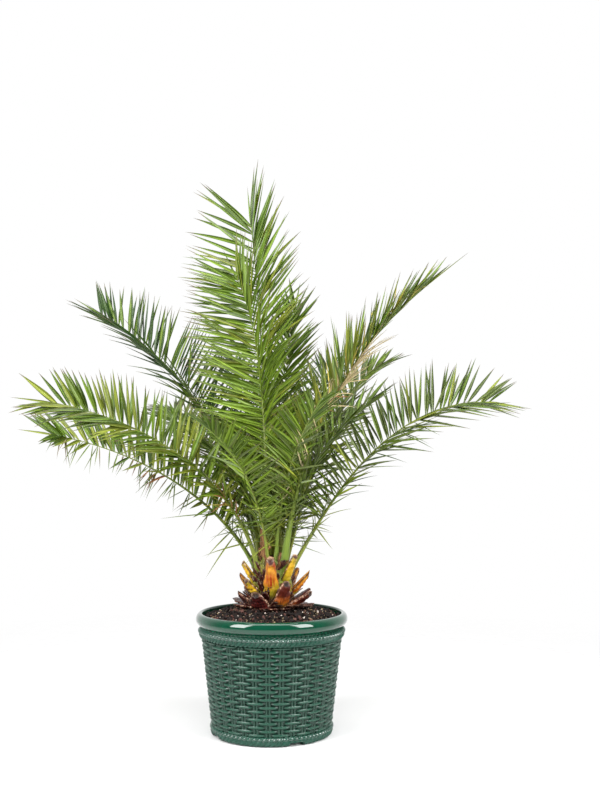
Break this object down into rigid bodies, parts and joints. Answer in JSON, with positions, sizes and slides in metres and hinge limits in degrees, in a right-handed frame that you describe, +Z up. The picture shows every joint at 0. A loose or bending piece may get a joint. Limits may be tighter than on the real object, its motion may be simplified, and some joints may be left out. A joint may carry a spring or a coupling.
{
  "type": "potted date palm",
  "caption": "Young date palm in a woven-look planter: soil, a short trunk wrapped in cut leaf bases, and a full crown of arching feather fronds.",
  "frame": {"origin": "centre of the planter's flat underside, where the plant stands", "axes": "+Z up along the planter's axis, +X to the right of the planter's front as the picture shows it, +Y away from the front"},
  "size_m": [1.0827, 0.7588, 1.1822],
  "materials": {
    "pot": "woven resin, satin, with a glossy rolled rim",
    "soil": "rough moist potting mix",
    "trunk": "fibrous dark brown bark",
    "leaf_base": "satin yellow and orange cut leaf base with a pale fibrous end",
    "husk": "dry maroon brown husk",
    "frond": "satin green leaf",
    "frond_deep": "satin deep green leaf",
    "frond_yellow": "satin yellow-green leaf"
  },
  "bodies": {
    "root": {"pot": "pot", "soil": "soil", "trunk": "trunk", "leaf_base_01": "leaf_base", "leaf_base_02": "leaf_base", "leaf_base_03": "leaf_base", "leaf_base_04": "leaf_base", "leaf_base_05": "leaf_base", "leaf_base_06": "leaf_base", "leaf_base_07": "leaf_base", "leaf_base_08": "leaf_base", "leaf_base_09": "leaf_base", "leaf_base_10": "leaf_base", "leaf_base_11": "husk", "leaf_base_12": "husk", "leaf_base_13": "husk", "leaf_base_14": "husk", "leaf_base_15": "husk", "leaf_base_16": "husk", "leaf_base_17": "husk", "husk_01": "husk", "husk_02": "husk", "husk_03": "husk", "husk_04": "husk", "husk_05": "husk", "husk_06": "husk", "husk_07": "husk", "frond_left_low": "frond", "frond_right": "frond", "frond_left": "frond_yellow", "frond_back_low": "frond", "frond_back_left_low": "frond", "frond_back_right_low": "frond", "frond_up_left": "frond_deep", "frond_up_right": "frond_yellow", "frond_mid_right": "frond", "frond_back_left_mid": "frond_deep", "frond_back_right_mid": "frond_deep", "frond_front_left": "frond", "frond_front_right": "frond_yellow", "frond_left_inner": "frond", "frond_right_up": "frond", "frond_back_right_up": "frond", "frond_top": "frond", "frond_top_left": "frond"}
  },
  "joints": []
}
